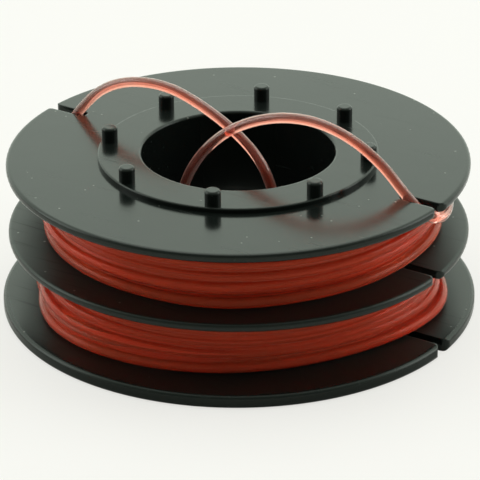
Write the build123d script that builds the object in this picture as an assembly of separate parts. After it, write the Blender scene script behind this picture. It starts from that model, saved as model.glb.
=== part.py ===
from build123d import *

import os
from math import cos, hypot, pi, radians, sin, sqrt, tan

# Trimmer line spool: one black moulding with two winding chambers, each full of line, and two loose line ends.
# Millimetres. The spool's axis is Z, the underside of the bottom flange is z = 0, and the line slots lie on X.

# Flanges
bottom_radius = 36.2
bottom_thickness = 2.0
bottom_rim_round = 0.6
middle_radius = 35.0
middle_thickness = 1.25
middle_rim_round = 0.5
top_radius = 35.0
top_thickness = 1.35
top_rim_round = 0.5
chamber_height = 9.65

# Drum that the line is wound on. Its top stands proud of the top flange as a collar.
drum_radius = 21.2
drum_wall = 1.5
collar_height = 0.75
collar_chamfer = 0.15
roof_thickness = 2.0
rib_thickness = 1.3

# Bore: a straight bearing land at the lower end, then a moulding draft that opens upwards
bore_radius = 14.4
bore_land = 12.0
bore_draft = 1.0
bore_chamfer = 0.4
bore_lip_chamfer = 0.25
bore_wall = 1.5

# Drive pegs around the collar, just inside its chamfered edge
peg_count = 8
peg_radius = 1.2
peg_height = 2.3
peg_chamfer = 0.25
peg_edge_gap = 0.03

# Line, and the slots that hold its ends
line_diameter = 1.6
winding_radius = 30.0
winding_clearance = 0.03
turn_flats = 3
slot_clearance = 0.05
slot_inner_radius = 28.2
slot_mouth_round = 1.1

# Routes of the line ends, from the winding, through the slots, over the flange and down into the bore
upper_line_route = [
    (19.9, 23.7, 19.9),
    (23.4, 20.4, 20.1),
    (26.6, 16.3, 20.4),
    (29.6, 11.8, 20.7),
    (31.9, 8.0, 20.9),
    (33.6, 4.6, 21.0),
    (34.1, 1.6, 21.1),
    (32.7, 0.0, 21.6),
    (29.2, 0.0, 24.2),
    (25.4, -0.1, 28.1),
    (20.1, -0.3, 31.3),
    (13.9, -0.6, 32.8),
    (7.6, -0.9, 32.1),
    (1.6, -1.1, 29.7),
    (-3.5, -1.1, 25.9),
    (-7.3, -1.1, 21.2),
    (-9.4, -1.1, 16.6),
    (-10.2, -1.2, 13.4),
]
lower_line_route = [
    (-23.0, -20.7, 5.0),
    (-26.1, -17.0, 5.3),
    (-28.6, -12.5, 5.6),
    (-31.0, -6.3, 6.0),
    (-32.4, -2.5, 6.5),
    (-32.9, -0.9, 7.7),
    (-33.2, 0.0, 9.6),
    (-33.1, 0.0, 12.4),
    (-32.7, 0.0, 16.6),
    (-32.0, 0.0, 21.0),
    (-29.0, 0.0, 25.0),
    (-25.2, 0.1, 29.0),
    (-19.9, 0.3, 31.4),
    (-13.2, 0.6, 31.9),
    (-7.3, 0.9, 30.0),
    (-1.5, 1.1, 27.1),
    (3.4, 1.1, 23.3),
    (5.7, 1.1, 18.2),
    (7.0, 1.1, 13.6),
]
route_arc_share = 0.45

# Heights and radii that follow from the sizes above
lower_floor = bottom_thickness
middle_floor = lower_floor + chamber_height
upper_floor = middle_floor + middle_thickness
top_floor = upper_floor + chamber_height
flange_top = top_floor + top_thickness
collar_top = flange_top + collar_height
bore_top_radius = bore_radius + (collar_top - bore_land) * tan(radians(bore_draft))
peg_circle_radius = drum_radius - collar_chamfer - peg_edge_gap - peg_radius
first_peg_angle = 180 / peg_count
slot_width = line_diameter + 2 * slot_clearance
cut_margin = 1.0


def disc(radius, thickness, floor):
    """Plain disc on the spool's axis, standing on the given height."""
    return Pos(0, 0, floor) * Cylinder(radius, thickness, align=(Align.CENTER, Align.CENTER, Align.MIN))


def slot_cutter(rim_radius, floor, thickness):
    """Radial slot on +X with a round inner end, whose mouth meets the rim in a round corner on each side."""
    half = slot_width / 2
    end_centre = slot_inner_radius + half
    corner_y = half + slot_mouth_round
    corner_x = sqrt((rim_radius - slot_mouth_round) ** 2 - corner_y**2)
    to_rim = 1 + slot_mouth_round / hypot(corner_x, corner_y)
    to_outside = to_rim + cut_margin / hypot(corner_x, corner_y)
    rim_x, rim_y = corner_x * to_rim, corner_y * to_rim
    outside_x, outside_y = corner_x * to_outside, corner_y * to_outside
    edges = [
        ThreePointArc((end_centre, -half), (slot_inner_radius, 0), (end_centre, half)),
        Line((outside_x, outside_y), (outside_x, -outside_y)),
    ]
    for side in (1, -1):
        edges.append(Line((end_centre, side * half), (corner_x, side * half)))
        edges.append(TangentArc((corner_x, side * half), (rim_x, side * rim_y), tangent=(1, 0)))
        edges.append(Line((rim_x, side * rim_y), (outside_x, side * outside_y)))
    profile = make_face(edges)
    return Pos(0, 0, floor - cut_margin) * extrude(profile, thickness + 2 * cut_margin)


def flange(radius, thickness, rim_round, floor):
    """Flange with a rounded rim and two opposite line slots."""
    plate = disc(radius, thickness, floor)
    plate = fillet(plate.edges().filter_by(GeomType.CIRCLE), rim_round)
    cutter = slot_cutter(radius, floor, thickness)
    return plate - [cutter, Rot(0, 0, 180) * cutter]


def drum():
    """Drum from the underside to the collar's top, with its collar edge broken by a chamfer."""
    body = disc(drum_radius, collar_top, 0)
    return chamfer(body.edges().sort_by(Axis.Z)[-1], collar_chamfer)


def bore():
    """Cutter for the bore: a chamfered land, then the draft, then a chamfered lip at the collar."""
    mouth_radius = bore_radius + bore_chamfer
    lip_radius = bore_top_radius + bore_lip_chamfer
    outline = Polyline(
        (0, -cut_margin),
        (mouth_radius + cut_margin, -cut_margin),
        (bore_radius, bore_chamfer),
        (bore_radius, bore_land),
        (bore_top_radius, collar_top - bore_lip_chamfer),
        (lip_radius + cut_margin, collar_top + cut_margin),
        (0, collar_top + cut_margin),
        close=True,
    )
    return revolve(Plane.XZ * make_face(outline), Axis.Z)


def core_pockets():
    """Pockets between the bore's wall and the drum's wall, open below, with a rib under each peg."""
    inner = bore_top_radius + bore_wall
    outer = drum_radius - drum_wall
    depth = collar_top - roof_thickness + cut_margin
    ring = disc(outer, depth, -cut_margin) - disc(inner, depth, -cut_margin)
    rib = Pos(0, 0, -cut_margin) * Box(
        outer - inner + 2 * cut_margin,
        rib_thickness,
        depth,
        align=(Align.CENTER, Align.CENTER, Align.MIN),
    )
    places = PolarLocations((inner + outer) / 2, peg_count, start_angle=first_peg_angle)
    return ring - [place * rib for place in places]


def pegs():
    """Ring of drive pegs standing on the collar."""
    root = collar_top - roof_thickness / 2
    peg = disc(peg_radius, collar_top + peg_height - root, root)
    peg = chamfer(peg.edges().sort_by(Axis.Z)[-1], peg_chamfer)
    places = PolarLocations(peg_circle_radius, peg_count, start_angle=first_peg_angle)
    return [place * peg for place in places]


def spool():
    """The whole moulding."""
    body = drum()
    body += flange(bottom_radius, bottom_thickness, bottom_rim_round, 0)
    body += flange(middle_radius, middle_thickness, middle_rim_round, middle_floor)
    body += flange(top_radius, top_thickness, top_rim_round, top_floor)
    body -= core_pockets()
    body += pegs()
    return body - bore()


def winding(chamber_floor):
    """A chamber full of line as one solid, with each turn's round outside drawn as a few flats."""
    inner = drum_radius + winding_clearance
    low = chamber_floor + winding_clearance
    high = chamber_floor + chamber_height - winding_clearance
    turns = round((high - low) / line_diameter)
    turn_radius = (high - low) / turns / 2
    outline = [(inner, high), (inner, low), (winding_radius - turn_radius, low)]
    for turn in range(turns):
        centre = low + (2 * turn + 1) * turn_radius
        for step in range(1, turn_flats + 1):
            angle = pi * (step / turn_flats - 0.5)
            radius = winding_radius - turn_radius * (1 - cos(angle))
            outline.append((radius, centre + turn_radius * sin(angle)))
    return revolve(Plane.XZ * make_face(Polyline(*outline, close=True)), Axis.Z)


def line_end(name, route):
    """Round line along a route of straight runs joined by arcs as large as the runs allow."""
    points = [Vector(*point) for point in route]
    runs = [after - before for before, after in zip(points, points[1:])]
    radii = []
    for before, after in zip(runs, runs[1:]):
        half_turn = radians(before.get_angle(after)) / 2
        radii.append(route_arc_share * min(before.length, after.length) / tan(half_turn))
    path = FilletPolyline(*points, radius=radii)
    section = Plane(origin=path @ 0, z_dir=path % 0) * Circle(line_diameter / 2)
    tube = sweep(section, path)
    expected = pi * line_diameter**2 / 4 * path.length
    print(name, "length", round(path.length, 2), "volume share", round(tube.volume / expected, 5))
    print(name, "radii", [round(radius, 1) for radius in radii])
    return tube


nodes = {
    "spool": spool(),
    "upper_winding": winding(upper_floor),
    "lower_winding": winding(lower_floor),
    "upper_line_end": line_end("upper_line_end", upper_line_route),
    "lower_line_end": line_end("lower_line_end", lower_line_route),
}

os.makedirs("parts", exist_ok=True)
for name, solid in nodes.items():
    export_step(solid, f"parts/{name}.step")
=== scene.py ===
# %% [markdown]
# This lesson dresses a trimmer line spool: a glossy black moulding with red line wound in two chambers.
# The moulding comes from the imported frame, in metres, and stays exactly where it is.
# Blender adds what the solids leave plain: the finish of the plastic, the wound strands and the loose ends.

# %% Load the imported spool
import math

import bpy
import numpy as np
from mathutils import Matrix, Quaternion, Vector


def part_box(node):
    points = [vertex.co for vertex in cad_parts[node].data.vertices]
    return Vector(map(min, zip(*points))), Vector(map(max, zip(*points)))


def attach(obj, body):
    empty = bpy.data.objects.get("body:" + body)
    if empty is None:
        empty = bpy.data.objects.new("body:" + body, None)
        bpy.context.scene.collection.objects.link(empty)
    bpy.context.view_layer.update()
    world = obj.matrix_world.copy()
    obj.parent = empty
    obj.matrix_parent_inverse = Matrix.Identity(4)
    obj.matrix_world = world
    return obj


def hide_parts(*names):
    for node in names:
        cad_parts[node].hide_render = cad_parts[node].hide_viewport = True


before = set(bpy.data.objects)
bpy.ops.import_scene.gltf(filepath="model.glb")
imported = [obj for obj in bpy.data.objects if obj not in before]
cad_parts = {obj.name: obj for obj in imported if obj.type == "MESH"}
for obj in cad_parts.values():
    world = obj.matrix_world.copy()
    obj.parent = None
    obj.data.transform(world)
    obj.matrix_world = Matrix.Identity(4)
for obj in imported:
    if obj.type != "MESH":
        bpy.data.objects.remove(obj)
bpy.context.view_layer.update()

MM = 0.001
print("nodes", sorted(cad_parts))

# %% [markdown]
# The camera stands where the photographer stood: a long lens, about 26 degrees above the table.
# A camera could be pointed with a Track To constraint, but a few angles say the same and are easy to change.
# Azimuth 0 looks along +Y, and the aim is a point close to the spool's axis.

# %% Camera
camera_azimuth = math.radians(33.3)
camera_elevation = math.radians(25.62)
camera_roll = math.radians(-0.334)
camera_distance = 443.5 * MM
camera_lens = 217.5
aim_height = 9.53 * MM
aim_right = 0.19 * MM

toward_right = Vector((math.cos(camera_azimuth), math.sin(camera_azimuth), 0))
toward_camera = Vector((
    math.sin(camera_azimuth) * math.cos(camera_elevation),
    -math.cos(camera_azimuth) * math.cos(camera_elevation),
    math.sin(camera_elevation),
))
camera = bpy.data.objects.new("camera", bpy.data.cameras.new("camera"))
bpy.context.scene.collection.objects.link(camera)
camera.data.lens = camera_lens
camera.rotation_mode = "QUATERNION"
camera.rotation_quaternion = toward_camera.to_track_quat("Z", "Y") @ Quaternion((0, 0, 1), camera_roll)
camera.location = toward_right * aim_right + Vector((0, 0, aim_height)) + toward_camera * camera_distance
bpy.context.scene.camera = camera
print("camera at mm", [round(value / MM, 1) for value in camera.location])

# %% [markdown]
# Every finish below is a small network of nodes, so two helpers keep those cells short.
# One adds a node with its settings, and the other links outputs to inputs.

# %% Helpers for nodes
white = (1, 1, 1, 1)


def add_node(tree, kind, inputs=None, **settings):
    """Adds a node of that kind, sets its own settings, and sets inputs by name or by number."""
    node = tree.nodes.new(kind)
    for name, value in settings.items():
        setattr(node, name, value)
    for name, value in (inputs or {}).items():
        node.inputs[name].default_value = value
    return node


def join(tree, *pairs):
    """Links each output to each input in the list of pairs."""
    for output, target in pairs:
        tree.links.new(output, target)


bpy.context.scene.view_settings.view_transform = "Standard"
print("view transform", bpy.context.scene.view_settings.view_transform)

# %% [markdown]
# A catalogue picture like this is taken on a plain pale sheet, where the spool keeps a soft shadow.
# A brighter lamp would whiten the sheet, but it would also whiten the black plastic.
# So camera rays see the sheet mostly in its own colour, and that share lights nothing else.

# %% Floor
floor_half = 2.0
paper_colour = (0.965, 0.955, 0.92, 1)
paper_roughness = 0.9
paper_gloss = 0.1
paper_seen = 0.72

floor_mesh = bpy.data.meshes.new("floor")
floor_corners = [(-floor_half, -floor_half, 0), (floor_half, -floor_half, 0)]
floor_corners += [(floor_half, floor_half, 0), (-floor_half, floor_half, 0)]
floor_mesh.from_pydata(floor_corners, [], [(0, 1, 2, 3)])
floor = bpy.data.objects.new("floor", floor_mesh)
bpy.context.scene.collection.objects.link(floor)

floor_paper = bpy.data.materials.new("floor_paper")
floor_paper.use_nodes = True
floor_tree = floor_paper.node_tree
floor_shader = floor_tree.nodes["Principled BSDF"]
floor_shader.inputs["Base Color"].default_value = paper_colour
floor_shader.inputs["Roughness"].default_value = paper_roughness
floor_shader.inputs["Specular IOR Level"].default_value = paper_gloss
floor_ray = add_node(floor_tree, "ShaderNodeLightPath")
floor_share = add_node(floor_tree, "ShaderNodeMath", {1: paper_seen}, operation="MULTIPLY")
floor_glow = add_node(floor_tree, "ShaderNodeEmission", {"Color": paper_colour, "Strength": 1.0})
floor_mix = add_node(floor_tree, "ShaderNodeMixShader")
join(
    floor_tree,
    (floor_ray.outputs["Is Camera Ray"], floor_share.inputs[0]),
    (floor_share.outputs[0], floor_mix.inputs[0]),
    (floor_shader.outputs[0], floor_mix.inputs[1]),
    (floor_glow.outputs[0], floor_mix.inputs[2]),
    (floor_mix.outputs[0], floor_tree.nodes["Material Output"].inputs["Surface"]),
)
floor_mesh.materials.append(floor_paper)
print("floor of", 2 * floor_half, "m in", floor_paper.name)

# %% [markdown]
# Black plastic shows little but what it mirrors, so the room matters more than the lamps.
# Gloss and clear strands see a room that is dark in front and bright behind, where one wall is lit.
# Plain surfaces get about half that light from the room, and the camera sees a white backdrop.
# A picture of a room could do this too, but one gradient needs no file.

# %% Room
room_colour = (0.89, 1.0, 0.88, 1)
room_light = 0.48
room_front = 0.35
room_back = 1.9
front_cosine = -0.8
back_cosine = 0.6

room = bpy.data.worlds.new("room")
bpy.context.scene.world = room
room.use_nodes = True
room_tree = room.node_tree
room_tree.nodes.clear()
ray = add_node(room_tree, "ShaderNodeLightPath")
direction = add_node(room_tree, "ShaderNodeTexCoord")
toward_back = (-math.sin(camera_azimuth), math.cos(camera_azimuth), 0)
backward = add_node(room_tree, "ShaderNodeVectorMath", {1: toward_back}, operation="DOT_PRODUCT")
walls = add_node(room_tree, "ShaderNodeMapRange", {
    "From Min": front_cosine,
    "From Max": back_cosine,
    "To Min": room_front,
    "To Max": room_back,
}, interpolation_type="SMOOTHSTEP")
mirrored = add_node(room_tree, "ShaderNodeMath", operation="MAXIMUM")
level = add_node(room_tree, "ShaderNodeMapRange", {"To Min": room_light, "To Max": 1.0})
brightness = add_node(room_tree, "ShaderNodeMath", operation="MULTIPLY")
glow = add_node(room_tree, "ShaderNodeBackground", {"Color": room_colour})
backdrop = add_node(room_tree, "ShaderNodeBackground", {"Color": white, "Strength": 1.0})
chosen_room = add_node(room_tree, "ShaderNodeMixShader")
room_out = add_node(room_tree, "ShaderNodeOutputWorld")
join(
    room_tree,
    (direction.outputs["Generated"], backward.inputs[0]),
    (backward.outputs["Value"], walls.inputs["Value"]),
    (ray.outputs["Is Glossy Ray"], mirrored.inputs[0]),
    (ray.outputs["Is Transmission Ray"], mirrored.inputs[1]),
    (mirrored.outputs[0], level.inputs["Value"]),
    (walls.outputs["Result"], brightness.inputs[0]),
    (level.outputs["Result"], brightness.inputs[1]),
    (brightness.outputs[0], glow.inputs["Strength"]),
    (ray.outputs["Is Camera Ray"], chosen_room.inputs[0]),
    (glow.outputs[0], chosen_room.inputs[1]),
    (backdrop.outputs[0], chosen_room.inputs[2]),
    (chosen_room.outputs[0], room_out.inputs["Surface"]),
)
print("room from", room_front, "in front to", room_back, "behind")

# %% [markdown]
# Three soft boxes light the line and the rims: one high up and a little behind, and one on each side.
# Small lamps would leave hard sparks on the gloss, so each box is at least half as wide as it is far.

# %% Lamps


def soft_box(name, azimuth, elevation, distance, width, height, brightness):
    """Area lamp that faces the spool. Its watts are brightness times pi times its area."""
    lamp = bpy.data.lights.new(name, "AREA")
    lamp.shape = "RECTANGLE"
    lamp.size = width
    lamp.size_y = height
    lamp.energy = brightness * math.pi * width * height
    box = bpy.data.objects.new(name, lamp)
    bpy.context.scene.collection.objects.link(box)
    turn = camera_azimuth + math.radians(azimuth)
    rise = math.radians(elevation)
    outward = Vector((math.sin(turn) * math.cos(rise), -math.cos(turn) * math.cos(rise), math.sin(rise)))
    box.location = outward * distance
    box.rotation_euler = outward.to_track_quat("Z", "Y").to_euler()
    return box


soft_boxes = [
    soft_box("top_box", azimuth=180, elevation=75, distance=0.6, width=0.5, height=0.5, brightness=1.6),
    soft_box("left_box", azimuth=-95, elevation=25, distance=0.6, width=0.3, height=0.4, brightness=2.0),
    soft_box("right_box", azimuth=95, elevation=25, distance=0.6, width=0.3, height=0.4, brightness=2.7),
]
print("lamps", [box.name for box in soft_boxes])

# %% [markdown]
# Handling leaves the same traces on the plastic and on the line: specks of dust, scratches and cloudy gloss.
# They could be painted, but noise textures need no picture, so one node group makes the three masks.
# Specks are the cores of a few Voronoi cells, and scratches are the crests of two noises that are stretched.

# %% Node group for handling marks
mark_inputs = {"Speck Scale": 420.0, "Speck Share": 0.5, "Scratch Scale": 60.0, "Cloud Scale": 70.0}
speck_core = 0.04
speck_edge = 0.09
scratch_foot = 0.66
scratch_crest = 0.74
scratch_tilt = (0.3, 0.2)
scratch_turns = (20, -65)
scratch_stretch = (1.0, 18.0, 18.0)

marks = bpy.data.node_groups.new("handling_marks", "ShaderNodeTree")
marks.interface.new_socket("Vector", in_out="INPUT", socket_type="NodeSocketVector")
for name, value in mark_inputs.items():
    socket = marks.interface.new_socket(name, in_out="INPUT", socket_type="NodeSocketFloat")
    socket.default_value = value
for name in ("Specks", "Scratches", "Cloud"):
    marks.interface.new_socket(name, in_out="OUTPUT", socket_type="NodeSocketFloat")

marks_in = add_node(marks, "NodeGroupInput")
marks_out = add_node(marks, "NodeGroupOutput")
cells = add_node(marks, "ShaderNodeTexVoronoi", {"Randomness": 1.0})
core = add_node(marks, "ShaderNodeMapRange", {
    "From Min": speck_core,
    "From Max": speck_edge,
    "To Min": 1.0,
    "To Max": 0.0,
})
cell_draw = add_node(marks, "ShaderNodeSeparateColor")
chosen = add_node(marks, "ShaderNodeMath", operation="LESS_THAN")
specks = add_node(marks, "ShaderNodeMath", operation="MULTIPLY")
cloud = add_node(marks, "ShaderNodeTexNoise", {"Detail": 4.0, "Roughness": 0.55})
join(
    marks,
    (marks_in.outputs["Vector"], cells.inputs["Vector"]),
    (marks_in.outputs["Speck Scale"], cells.inputs["Scale"]),
    (cells.outputs["Distance"], core.inputs["Value"]),
    (cells.outputs["Color"], cell_draw.inputs[0]),
    (cell_draw.outputs[0], chosen.inputs[0]),
    (marks_in.outputs["Speck Share"], chosen.inputs[1]),
    (core.outputs["Result"], specks.inputs[0]),
    (chosen.outputs[0], specks.inputs[1]),
    (specks.outputs[0], marks_out.inputs["Specks"]),
    (marks_in.outputs["Vector"], cloud.inputs["Vector"]),
    (marks_in.outputs["Cloud Scale"], cloud.inputs["Scale"]),
    (cloud.outputs["Fac"], marks_out.inputs["Cloud"]),
)
scratches = add_node(marks, "ShaderNodeMath", operation="MAXIMUM")
for number, turn_degrees in enumerate(scratch_turns):
    stretch = add_node(marks, "ShaderNodeMapping", {
        "Rotation": (*scratch_tilt, math.radians(turn_degrees)),
        "Scale": scratch_stretch,
    })
    streaks = add_node(marks, "ShaderNodeTexNoise", {"Detail": 2.0, "Roughness": 0.4})
    crest = add_node(marks, "ShaderNodeMapRange", {"From Min": scratch_foot, "From Max": scratch_crest})
    join(
        marks,
        (marks_in.outputs["Vector"], stretch.inputs["Vector"]),
        (stretch.outputs[0], streaks.inputs["Vector"]),
        (marks_in.outputs["Scratch Scale"], streaks.inputs["Scale"]),
        (streaks.outputs["Fac"], crest.inputs["Value"]),
        (crest.outputs["Result"], scratches.inputs[number]),
    )
join(marks, (scratches.outputs[0], marks_out.inputs["Scratches"]))
print("node group", marks.name, "with", len(marks.nodes), "nodes")

# %% [markdown]
# The moulding is black plastic off a polished mould. Its flat faces mirror the pale room, so they look grey.
# The gloss comes from the shader alone: a smooth surface with a low index of refraction.
# Dust lightens the colour, scratches and clouds roughen the gloss, and a faint bump makes the mirror uneven.
# A mould is hard to polish deep in the chambers, so their floors get duller towards the winding.
# Moulded edges are never quite sharp. The Bevel node rounds them in the shader and leaves the mesh as it is,
# and an Ambient Occlusion mask keeps it off inner corners.

# %% Black moulded plastic
plastic_black = (0.006, 0.008, 0.007, 1)
plastic_dust = (0.16, 0.17, 0.15, 1)
plastic_index = 1.33
mirror_tint = (0.92, 1.0, 0.93, 1)
clean_gloss = 0.13
cloudy_gloss = 0.22
scratch_gloss = 0.10
rim_satin = 0.1
deep_satin = 0.4
chamber_inside = 29 * MM
chamber_mouth = 35.5 * MM
chambers_end = 20 * MM
top_begins = 22 * MM
edge_round = 0.35 * MM
inner_corner = 0.85
free_corner = 0.97
ripple_scale = 140.0
ripple_strength = 0.08
ripple_height = 0.2 * MM


def black_plastic():
    """Glossy black plastic with dust and scratches, duller chamber floors and rounded free edges."""
    material = bpy.data.materials.new("black_moulded_plastic")
    material.use_nodes = True
    tree = material.node_tree
    shader = tree.nodes["Principled BSDF"]
    shader.inputs["IOR"].default_value = plastic_index
    shader.inputs["Specular Tint"].default_value = mirror_tint
    place = add_node(tree, "ShaderNodeTexCoord")
    wear = add_node(tree, "ShaderNodeGroup", node_tree=marks)
    facing = add_node(tree, "ShaderNodeSeparateXYZ")
    settled = add_node(tree, "ShaderNodeMath", operation="MULTIPLY", use_clamp=True)
    colour = add_node(tree, "ShaderNodeMix", data_type="RGBA")
    colour.inputs["A"].default_value = plastic_black
    colour.inputs["B"].default_value = plastic_dust
    gloss = add_node(tree, "ShaderNodeMapRange", {"To Min": clean_gloss, "To Max": cloudy_gloss})
    height = add_node(tree, "ShaderNodeSeparateXYZ")
    below_top = add_node(tree, "ShaderNodeMapRange", {
        "From Min": chambers_end,
        "From Max": top_begins,
        "To Min": 1.0,
        "To Max": 0.0,
    })
    chamber_floor = add_node(tree, "ShaderNodeMath", operation="MULTIPLY", use_clamp=True)
    level_place = add_node(tree, "ShaderNodeVectorMath", {1: (1, 1, 0)}, operation="MULTIPLY")
    from_axis = add_node(tree, "ShaderNodeVectorMath", operation="LENGTH")
    satin = add_node(tree, "ShaderNodeMapRange", {
        "From Min": chamber_inside,
        "From Max": chamber_mouth,
        "To Min": deep_satin,
        "To Max": rim_satin,
    })
    base_rough = add_node(tree, "ShaderNodeMath", operation="MULTIPLY_ADD")
    rough = add_node(tree, "ShaderNodeMath", {1: scratch_gloss}, operation="MULTIPLY_ADD")
    plain = add_node(tree, "ShaderNodeNewGeometry")
    rounded = add_node(tree, "ShaderNodeBevel", {"Radius": edge_round}, samples=6)
    open_air = add_node(tree, "ShaderNodeAmbientOcclusion", {"Distance": 2 * edge_round}, only_local=True)
    free_edge = add_node(tree, "ShaderNodeMapRange", {"From Min": inner_corner, "From Max": free_corner})
    edge = add_node(tree, "ShaderNodeMix", data_type="VECTOR")
    ripple = add_node(tree, "ShaderNodeTexNoise", {"Scale": ripple_scale, "Detail": 1.0})
    bump = add_node(tree, "ShaderNodeBump", {"Strength": ripple_strength, "Distance": ripple_height})
    join(
        tree,
        (place.outputs["Object"], wear.inputs["Vector"]),
        (place.outputs["Normal"], facing.inputs[0]),
        (wear.outputs["Specks"], settled.inputs[0]),
        (facing.outputs["Z"], settled.inputs[1]),
        (settled.outputs[0], colour.inputs["Factor"]),
        (colour.outputs["Result"], shader.inputs["Base Color"]),
        (wear.outputs["Cloud"], gloss.inputs["Value"]),
        (place.outputs["Object"], height.inputs[0]),
        (height.outputs["Z"], below_top.inputs["Value"]),
        (below_top.outputs["Result"], chamber_floor.inputs[0]),
        (facing.outputs["Z"], chamber_floor.inputs[1]),
        (place.outputs["Object"], level_place.inputs[0]),
        (level_place.outputs[0], from_axis.inputs[0]),
        (from_axis.outputs["Value"], satin.inputs["Value"]),
        (chamber_floor.outputs[0], base_rough.inputs[0]),
        (satin.outputs["Result"], base_rough.inputs[1]),
        (gloss.outputs["Result"], base_rough.inputs[2]),
        (wear.outputs["Scratches"], rough.inputs[0]),
        (base_rough.outputs[0], rough.inputs[2]),
        (rough.outputs[0], shader.inputs["Roughness"]),
        (open_air.outputs["AO"], free_edge.inputs["Value"]),
        (free_edge.outputs["Result"], edge.inputs["Factor"]),
        (plain.outputs["Normal"], edge.inputs["A"]),
        (rounded.outputs["Normal"], edge.inputs["B"]),
        (place.outputs["Object"], ripple.inputs["Vector"]),
        (ripple.outputs["Fac"], bump.inputs["Height"]),
        (edge.outputs["Result"], bump.inputs["Normal"]),
        (bump.outputs["Normal"], shader.inputs["Normal"]),
    )
    return material


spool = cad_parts["spool"]
spool.data.materials.clear()
spool.data.materials.append(black_plastic())
print("finish of the spool:", spool.data.materials[0].name)

# %% [markdown]
# The line is clear red nylon. One strand lets most light through, so it looks pale against the light.
# Many strands together swallow the light and look deep red, so the wound line is deeper and less clear.
# A strand looks pale where the eye grazes its edge and deep where it looks through the core.
# A volume could absorb the light, but a Layer Weight node shows the same at a small part of the time.
# The colour clouds a little along the strand, as extruded nylon does.
# Beside its winding, a loose end takes the core colour of the wound line, so that the join doesn't show.

# %% Red nylon line
red_tint = (1.0, 0.45, 0.35, 1)
wound_core = (0.97, 0.16, 0.07, 1)
cloud_swing = 0.2
scratch_haze = 0.06
clear_until = 7 * MM
deep_from = 14 * MM


def nylon(name, edge_colour, core_colour, core_share, clearness, roughness, index, tint):
    """Clear red nylon: pale where the eye meets a strand's edge, deep where it looks through the core."""
    material = bpy.data.materials.new(name)
    material.use_nodes = True
    tree = material.node_tree
    shader = tree.nodes["Principled BSDF"]
    shader.inputs["IOR"].default_value = index
    shader.inputs["Transmission Weight"].default_value = clearness
    shader.inputs["Specular Tint"].default_value = tint
    place = add_node(tree, "ShaderNodeTexCoord")
    wear = add_node(tree, "ShaderNodeGroup", {"Cloud Scale": 160.0, "Scratch Scale": 110.0}, node_tree=marks)
    view = add_node(tree, "ShaderNodeLayerWeight", {"Blend": 0.5})
    depth = add_node(tree, "ShaderNodeMath", {0: 1.0}, operation="SUBTRACT")
    clouded = add_node(tree, "ShaderNodeMapRange", {
        "To Min": (1 + cloud_swing) * core_share,
        "To Max": (1 - cloud_swing) * core_share,
    })
    share = add_node(tree, "ShaderNodeMath", operation="MULTIPLY", use_clamp=True)
    colour = add_node(tree, "ShaderNodeMix", data_type="RGBA")
    colour.inputs["A"].default_value = edge_colour
    colour.inputs["B"].default_value = core_colour
    gloss = add_node(tree, "ShaderNodeMath", {1: scratch_haze, 2: roughness}, operation="MULTIPLY_ADD")
    join(
        tree,
        (place.outputs["Object"], wear.inputs["Vector"]),
        (view.outputs["Facing"], depth.inputs[1]),
        (wear.outputs["Cloud"], clouded.inputs["Value"]),
        (depth.outputs[0], share.inputs[0]),
        (clouded.outputs["Result"], share.inputs[1]),
        (share.outputs[0], colour.inputs["Factor"]),
        (colour.outputs["Result"], shader.inputs["Base Color"]),
        (wear.outputs["Scratches"], gloss.inputs[0]),
        (gloss.outputs[0], shader.inputs["Roughness"]),
    )
    return material


def deepen_beside_winding(material):
    """Turns the colour into the wound line's core as the distance from the plane y = 0 grows."""
    tree = material.node_tree
    base = tree.nodes["Principled BSDF"].inputs["Base Color"]
    strand_colour = base.links[0].from_socket
    place = add_node(tree, "ShaderNodeTexCoord")
    spot = add_node(tree, "ShaderNodeSeparateXYZ")
    aside = add_node(tree, "ShaderNodeMath", operation="ABSOLUTE")
    beside = add_node(tree, "ShaderNodeMapRange", {"From Min": clear_until, "From Max": deep_from})
    blended = add_node(tree, "ShaderNodeMix", data_type="RGBA")
    blended.inputs["B"].default_value = wound_core
    join(
        tree,
        (place.outputs["Object"], spot.inputs[0]),
        (spot.outputs["Y"], aside.inputs[0]),
        (aside.outputs[0], beside.inputs["Value"]),
        (beside.outputs["Result"], blended.inputs["Factor"]),
        (strand_colour, blended.inputs["A"]),
        (blended.outputs["Result"], base),
    )


loose_nylon = nylon(
    "loose_red_nylon",
    edge_colour=(1.0, 0.90, 0.83, 1),
    core_colour=(0.93, 0.19, 0.11, 1),
    core_share=1.0,
    clearness=0.82,
    roughness=0.08,
    index=1.5,
    tint=white,
)
deepen_beside_winding(loose_nylon)
wound_nylon = nylon(
    "wound_red_nylon",
    edge_colour=(1.0, 0.6, 0.45, 1),
    core_colour=wound_core,
    core_share=2.4,
    clearness=0.74,
    roughness=0.07,
    index=1.25,
    tint=red_tint,
)
packed_nylon = nylon(
    "packed_red_nylon",
    edge_colour=(0.92, 0.20, 0.10, 1),
    core_colour=(0.88, 0.16, 0.08, 1),
    core_share=2.4,
    clearness=0.0,
    roughness=0.5,
    index=1.34,
    tint=red_tint,
)
print("finishes of the line:", loose_nylon.name, wound_nylon.name, packed_nylon.name)

# %% [markdown]
# Each loose end leaves its winding, bends up through the slots at the rim and arches over into the bore.
# Nylon line bends in one smooth sweep, so each end is a NURBS curve with a round bevel.
# The upper end's control points are the route of the solid tube that it replaces.
# The lower end's first points lie lower than its tube and start later, where the middle flange hides them.
# It reaches further down the bore, so that its length stays the tube's.

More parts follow.
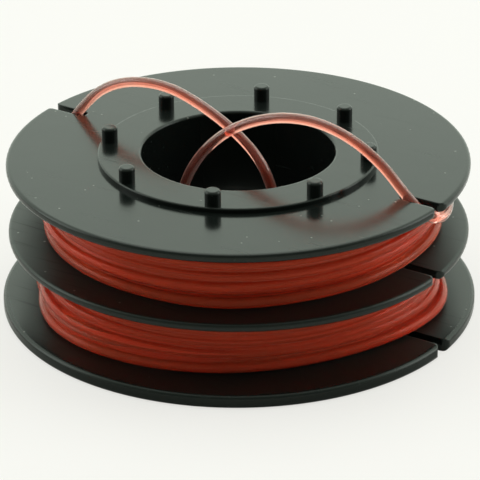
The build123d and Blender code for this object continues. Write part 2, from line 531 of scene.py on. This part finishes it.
# %% Loose line ends
line_radius = 0.8 * MM
upper_route = [
    (19.9, 23.7, 19.9),
    (23.4, 20.4, 20.1),
    (26.6, 16.3, 20.4),
    (29.6, 11.8, 20.7),
    (31.9, 8.0, 20.9),
    (33.6, 4.6, 21.0),
    (34.1, 1.6, 21.1),
    (32.7, 0.0, 21.6),
    (29.2, 0.0, 24.2),
    (25.4, -0.1, 28.1),
    (20.1, -0.3, 31.3),
    (13.9, -0.6, 32.8),
    (7.6, -0.9, 32.1),
    (1.6, -1.1, 29.7),
    (-3.5, -1.1, 25.9),
    (-7.3, -1.1, 21.2),
    (-9.4, -1.1, 16.6),
    (-10.2, -1.2, 13.4),
]
lower_route = [
    (-27.1, -14.7, 3.5),
    (-28.6, -12.5, 3.9),
    (-31.0, -6.3, 5.2),
    (-32.4, -2.5, 6.4),
    (-32.9, -0.9, 7.7),
    (-33.2, 0.0, 9.6),
    (-33.1, 0.0, 12.4),
    (-32.7, 0.0, 16.6),
    (-32.0, 0.0, 21.0),
    (-29.0, 0.0, 25.0),
    (-25.2, 0.1, 29.0),
    (-19.9, 0.3, 31.4),
    (-13.2, 0.6, 31.9),
    (-7.3, 0.9, 30.0),
    (-1.5, 1.1, 27.1),
    (3.4, 1.1, 23.3),
    (5.7, 1.1, 18.2),
    (7.0, 1.1, 13.6),
    (9.0, 1.1, 6.6),
]


def loose_end(name, route_mm, node):
    """NURBS curve of order 3 with the route as its control points and a round section."""
    route = np.array(route_mm) * MM
    curve = bpy.data.curves.new(name, "CURVE")
    curve.dimensions = "3D"
    spline = curve.splines.new("NURBS")
    spline.points.add(len(route) - 1)
    spline.points.foreach_set("co", np.column_stack([route, np.ones(len(route))]).ravel())
    spline.order_u = 3
    spline.use_endpoint_u = True
    spline.resolution_u = 10
    curve.bevel_depth = line_radius
    curve.bevel_resolution = 5
    curve.use_fill_caps = True
    curve.materials.append(loose_nylon)
    strand = bpy.data.objects.new(name, curve)
    bpy.context.scene.collection.objects.link(strand)
    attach(strand, "root")
    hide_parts(node)
    print(name, "with", len(route), "control points")


loose_end("upper_loose_end", upper_route, "upper_line_end")
loose_end("lower_loose_end", lower_route, "lower_line_end")

# %% [markdown]
# Each chamber holds metres of line in layers. Only the two outer layers show, so they are a real strand.
# It lays four turns in the grooves below, steps out onto them, and lays five turns of the outer layer.
# Each turn lies level and steps on to its neighbour at the back, as line does that is wound on a machine.
# Below the strand, a ridged sleeve stands for the layers underneath.

# %% Helpers for wound line
wave_count = 5
slowest_wave = 0.35
fastest_wave = 2.6
wave_divisor = 2.2


def smooth(share):
    """Smooth step from 0 to 1: three times the square less twice the cube, held at both ends."""
    share = np.clip(share, 0, 1)
    return share * share * (3 - 2 * share)


def waves(turns, size, draw):
    """Sum of slow sines of the number of turns, with drawn rates and phases, scaled to about the size."""
    rate = draw.uniform(slowest_wave, fastest_wave, wave_count)
    phase = draw.uniform(0, 2 * np.pi, wave_count)
    return size * np.sin(2 * np.pi * np.outer(turns, rate) + phase).sum(axis=1) / wave_divisor


def grid_faces(rows, columns, first, closed_rows):
    """Quads of a grid whose columns close on themselves, and whose rows do too if closed_rows is set."""
    row = np.arange(rows if closed_rows else rows - 1)[:, None]
    column = np.arange(columns)[None, :]
    next_row = (row + 1) % rows
    next_column = (column + 1) % columns
    corners = [
        row * columns + column,
        row * columns + next_column,
        next_row * columns + next_column,
        next_row * columns + column,
    ]
    return first + np.stack(corners, axis=-1).reshape(-1, 4)


def tube(path, sides):
    """Rings of points round a path: centre plus radius times (cosine times outward plus sine times upward).

    Outward points away from the spool's axis, square to the path, and upward is square to both."""
    along = np.gradient(path, axis=0)
    along /= np.linalg.norm(along, axis=1)[:, None]
    outward = path * (1, 1, 0)
    outward -= along * (outward * along).sum(axis=1)[:, None]
    outward /= np.linalg.norm(outward, axis=1)[:, None]
    upward = np.cross(along, outward)
    angle = np.linspace(0, 2 * np.pi, sides, endpoint=False)[None, :, None]
    ring = np.cos(angle) * outward[:, None] + np.sin(angle) * upward[:, None]
    return (path[:, None] + line_radius * ring).reshape(-1, 3)


def bulge(angle, bulges):
    """Sum of bells: size times e to the minus square of (angle from the bell's middle over its width)."""
    middle, size, width = (np.array(column)[:, None] for column in zip(*bulges))
    apart = (np.degrees(angle)[None, :] - middle + 180) % 360 - 180
    return (size * MM * np.exp(-((apart / width) ** 2))).sum(axis=0)


print("waves per strand:", wave_count)

# %% [markdown]
# The strand is a path in round coordinates: an angle that runs on, with a radius and a height for each turn.
# Waves keep the turns from lying like a screw thread, and the low turns, which are the loosest, wave most.
# Near the chamber's floor, loose turns stand off in a few broad bulges, as stiff line does when let go.
# The last stretch is blended so that it ends at the loose end's first point, heading the same way.

# %% Path of the wound strand
rings_per_turn = 150
inner_turns = 4
outer_turns = 5
outer_radius = 28.8 * MM
layer_step = 0.45 * MM
least_step = 0.6
step_share = 0.22
step_angle = math.radians(123)
lead_out = math.radians(100)
swing_out = math.radians(50)
height_wave = 0.05
calm_height = 1.2
radius_wave = 0.22 * MM
tight_wave = 0.6
loose_wave = 0.8
bulge_power = 1.5


def wound_path(low, high, route_mm, outer_climbs, bulges, draw):
    """Lays the inner turns one way along the axis and the outer turns the other way, up to the loose end.

    A turn's height holds for most of the turn and then takes one smooth step. The angle runs clockwise."""
    start, following = np.array(route_mm[0]) * MM, np.array(route_mm[1]) * MM
    end_angle, next_angle = math.atan2(start[1], start[0]), math.atan2(following[1], following[0])
    end_radius, next_radius = np.hypot(*start[:2]), np.hypot(*following[:2])
    radius_slope = (next_radius - end_radius) / (next_angle - end_angle)
    height_slope = (following[2] - start[2]) / (next_angle - end_angle)
    last_part = ((step_angle - end_angle) / (2 * np.pi)) % 1
    total = inner_turns + outer_turns + last_part
    turns = np.linspace(0, total, int(total * rings_per_turn))
    back = 2 * np.pi * (total - turns)
    angle = end_angle + back
    place = np.floor(turns) + smooth((turns % 1 - 1 + step_share) / step_share)
    inner_place = np.clip(place, 0, inner_turns - 1) + 0.5
    outer_place = np.clip(place - inner_turns, 0, outer_turns - 1)
    if outer_climbs:
        inner_place = outer_turns - 1 - inner_place
    else:
        outer_place = outer_turns - 1 - outer_place
    layer = smooth((turns - inner_turns + step_share) / step_share)
    share_up = (inner_place + (outer_place - inner_place) * layer) / (outer_turns - 1)
    share_up = share_up + waves(turns, height_wave, draw) * (calm_height - share_up)
    floor_height, roof_height = low + line_radius, high - line_radius
    height = floor_height + (roof_height - floor_height) * np.clip(share_up, 0, 1)
    loose = 1 - np.clip(share_up, 0, 1)
    radius = outer_radius - layer_step * (1 - layer) * (least_step + loose)
    radius = radius + waves(turns, radius_wave, draw) * (tight_wave + loose_wave * loose)
    radius = radius + bulge(angle, bulges) * loose**bulge_power
    share = 1 - smooth(back / lead_out)
    height = height * (1 - share) + (start[2] + height_slope * back) * share
    share = 1 - smooth(back / swing_out)
    radius = radius * (1 - share) + (end_radius + radius_slope * back) * share
    return np.column_stack([radius * np.cos(angle), radius * np.sin(angle), height])


print("turns per chamber:", inner_turns, "below and", outer_turns, "outside")

# %% [markdown]
# The sleeve fills the space between the drum and the strand, with one ridge for each turn of a layer.
# It could be wound strand as well, but only its ridges show, in the gaps between the outer turns.
# Strand and sleeve are one mesh per chamber, because they are one length of line.

# %% Wound line
drum_radius = 21.23 * MM
strand_sides = 12
sleeve_turns = 5
sleeve_steps = 160
ridge_steps = 10
sleeve_sink = 0.8
sleeve_crest = outer_radius - layer_step - sleeve_sink * line_radius
upper_bulges = ((-62, 0.8, 18), (32, 1.3, 24))
lower_bulges = ((-116, 2.5, 32), (-36, -0.9, 24), (18, 2.3, 22))


def sleeve(low, high):
    """Ring of ridges whose inside lies on the drum.

    Outside, the radius is the crest less the line's radius times (1 less the size of the sine of half a turn
    per ridge)."""
    share = np.linspace(0, sleeve_turns, sleeve_turns * ridge_steps + 1)
    depth = 1 - np.abs(np.sin(np.pi * share))
    outside = sleeve_crest - line_radius * depth
    height = low + (high - low) * share / sleeve_turns
    profile_radius = np.concatenate([[drum_radius], outside, [drum_radius]])
    profile_height = np.concatenate([[low], height, [high]])
    angle = np.linspace(0, 2 * np.pi, sleeve_steps, endpoint=False)[:, None]
    ring = np.stack([
        profile_radius * np.cos(angle),
        profile_radius * np.sin(angle),
        profile_height + np.zeros_like(angle),
    ], axis=-1)
    return ring.reshape(-1, 3), len(profile_radius)


def wound_line(name, node, route_mm, outer_climbs, bulges, seed):
    """One mesh of the wound strand, with a flat cap at each end, and the sleeve below it."""
    low, high = (corner.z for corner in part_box(node))
    draw = np.random.default_rng(seed)
    path = wound_path(low, high, route_mm, outer_climbs, bulges, draw)
    strand = tube(path, strand_sides)
    ring, columns = sleeve(low, high)
    strand_quads = grid_faces(len(path), strand_sides, 0, False)
    sleeve_quads = grid_faces(sleeve_steps, columns, len(strand), True)[:, ::-1]
    start_cap = np.arange(strand_sides)[::-1].tolist()
    end_cap = np.arange(len(strand) - strand_sides, len(strand)).tolist()
    mesh = bpy.data.meshes.new(name)
    faces = strand_quads.tolist() + [start_cap, end_cap] + sleeve_quads.tolist()
    mesh.from_pydata(np.concatenate([strand, ring]).tolist(), [], faces)
    mesh.polygons.foreach_set("use_smooth", np.ones(len(faces), bool))
    mesh.materials.append(wound_nylon)
    mesh.materials.append(packed_nylon)
    below = np.arange(len(faces)) >= len(faces) - len(sleeve_quads)
    mesh.polygons.foreach_set("material_index", below.astype(np.int32))
    winding = bpy.data.objects.new(name, mesh)
    bpy.context.scene.collection.objects.link(winding)
    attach(winding, "root")
    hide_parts(node)
    reach = np.hypot(path[:, 0], path[:, 1]).max()
    print(name, "with", len(faces), "faces, strand radius to mm", round(reach / MM, 2))


wound_line("upper_wound_line", "upper_winding", upper_route, True, upper_bulges, seed=11)
wound_line("lower_wound_line", "lower_winding", lower_route, False, lower_bulges, seed=23)
